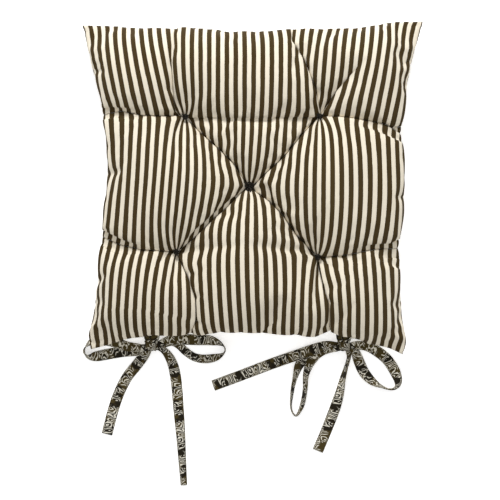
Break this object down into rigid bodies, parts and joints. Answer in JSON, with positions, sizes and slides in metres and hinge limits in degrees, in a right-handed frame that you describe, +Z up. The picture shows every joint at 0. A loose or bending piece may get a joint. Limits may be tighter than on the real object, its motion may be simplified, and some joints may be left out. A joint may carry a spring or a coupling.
{
  "type": "chair seat pad",
  "caption": "Square tufted chair seat pad in striped cotton ticking, knife-edged and fibre-filled, with flat printed tapes tied in a bow at each rear corner.",
  "frame": {"origin": "centre of the underside, on the resting surface, under the centre tuft", "axes": "+X to the right, +Y to the front of the seat, +Z up; the ties are at the rear, at -Y"},
  "size_m": [0.4, 0.5499, 0.0557],
  "materials": {
    "ticking": "matte",
    "fibre": "matte",
    "sewing_thread": "matte",
    "tufting_twine": "matte",
    "printed_tape": "matte"
  },
  "bodies": {
    "pad": {"cover_top_panel": "ticking", "cover_bottom_panel": "ticking", "fibre_filling": "fibre", "seam_stitching": "sewing_thread", "closing_stitches": "sewing_thread", "tuft_twine_centre": "tufting_twine", "tuft_twine_front_left": "tufting_twine", "tuft_twine_front_right": "tufting_twine", "tuft_twine_rear_left": "tufting_twine", "tuft_twine_rear_right": "tufting_twine", "tuft_knot_centre": "tufting_twine", "tuft_knot_front_left": "tufting_twine", "tuft_knot_front_right": "tufting_twine", "tuft_knot_rear_left": "tufting_twine", "tuft_knot_rear_right": "tufting_twine", "left_tie_bartack": "sewing_thread", "right_tie_bartack": "sewing_thread"},
    "left_bow": {"left_tie_outer": "printed_tape", "left_tie_inner": "printed_tape"},
    "right_bow": {"right_tie_inner": "printed_tape", "right_tie_outer": "printed_tape"}
  },
  "joints": [
    {"name": "left_bow_swing", "type": "hinge", "parent": "pad", "child": "left_bow", "pos_m": [-0.114, -0.1828, 0.0184], "axis": [-1, 0, 0], "range_deg": [-30, 100]},
    {"name": "right_bow_swing", "type": "hinge", "parent": "pad", "child": "right_bow", "pos_m": [0.114, -0.1828, 0.0184], "axis": [-1, 0, 0], "range_deg": [-30, 100]}
  ]
}
